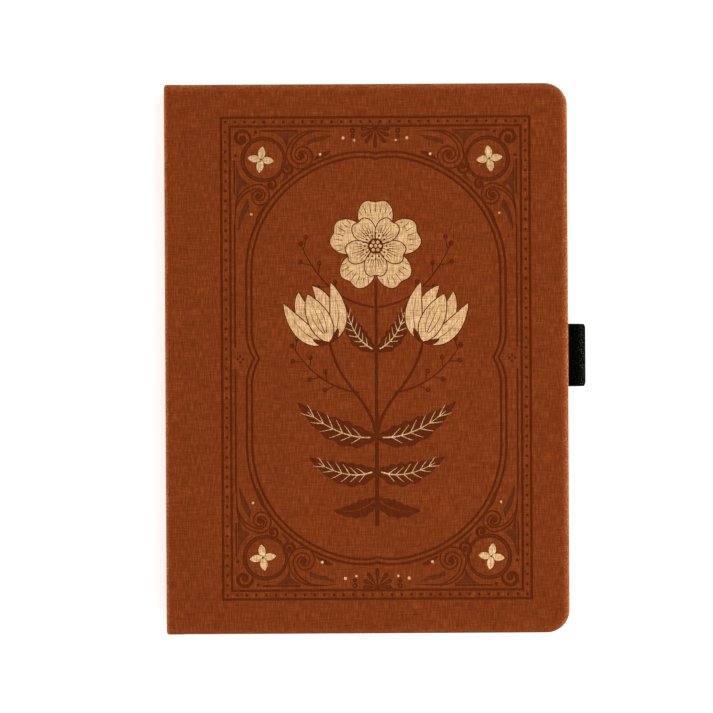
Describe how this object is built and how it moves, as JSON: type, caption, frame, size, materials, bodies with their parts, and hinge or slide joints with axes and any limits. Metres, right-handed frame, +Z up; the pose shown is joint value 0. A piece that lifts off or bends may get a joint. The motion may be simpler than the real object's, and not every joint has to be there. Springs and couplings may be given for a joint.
{
  "type": "dotted notebook",
  "caption": "Hardcover dotted notebook with cloth covers, a sewn page block and an elastic pen loop at the fore-edge; it opens flat at the middle.",
  "frame": {"origin": "centre of the back cover's outer face, on which the closed notebook lies", "axes": "+Z up through the front cover, +X from the spine to the fore-edge, +Y to the head"},
  "size_m": [0.1663, 0.216, 0.0218],
  "materials": {
    "cover_cloth": "matt linen weave",
    "grey_board": "matt",
    "endpaper": "matt",
    "pocket_card": "matt",
    "page_paper": "matt, uncoated",
    "elastic": "ribbed, matt",
    "thread": "waxed",
    "lining": "matt",
    "endband": "woven"
  },
  "bodies": {
    "back_cover": {"back_cover_cloth": "cover_cloth", "back_board": "grey_board", "back_pastedown": "endpaper", "pocket_panel": "pocket_card", "pocket_gusset_spine_side": "pocket_card", "pocket_gusset_fore_side": "pocket_card", "pen_loop": "elastic"},
    "back_half_block": {"back_flyleaf": "endpaper", "signature_06": "page_paper", "signature_07": "page_paper", "signature_08": "page_paper", "signature_09": "page_paper", "signature_10": "page_paper", "sewing_thread_back": "thread", "spine_lining_back": "lining", "endband_head_back": "endband", "endband_tail_back": "endband"},
    "front_half_block": {"front_flyleaf": "endpaper", "signature_01": "page_paper", "signature_02": "page_paper", "signature_03": "page_paper", "signature_04": "page_paper", "signature_05": "page_paper", "sewing_thread_front": "thread", "spine_lining_front": "lining", "endband_head_front": "endband", "endband_tail_front": "endband"},
    "spine": {"spine_cloth": "cover_cloth", "spine_strip": "grey_board"},
    "front_cover": {"front_cover_cloth": "cover_cloth", "front_board": "grey_board", "front_pastedown": "endpaper"}
  },
  "joints": [
    {"name": "back_cover_fold", "type": "hinge", "parent": "back_cover", "child": "back_half_block", "pos_m": [-0.07895, 0, 0.0003], "axis": [0, 1, 0], "range_deg": [-90, 0]},
    {"name": "open_at_middle", "type": "hinge", "parent": "back_half_block", "child": "front_half_block", "pos_m": [-0.07695, 0, 0.01119], "axis": [0, -1, 0], "range_deg": [0, 180]},
    {"name": "spine_fold", "type": "hinge", "parent": "back_half_block", "child": "spine", "pos_m": [-0.07895, 0, 0.0003], "axis": [0, -1, 0], "range_deg": [0, 90]},
    {"name": "front_cover_fold", "type": "hinge", "parent": "spine", "child": "front_cover", "pos_m": [-0.07895, 0, 0.02148], "axis": [0, -1, 0], "range_deg": [0, 90]}
  ],
  "couplings": [
    {"joint": "spine_fold", "follows": "open_at_middle", "ratio": 0.5},
    {"joint": "front_cover_fold", "follows": "open_at_middle", "ratio": 0.5}
  ]
}
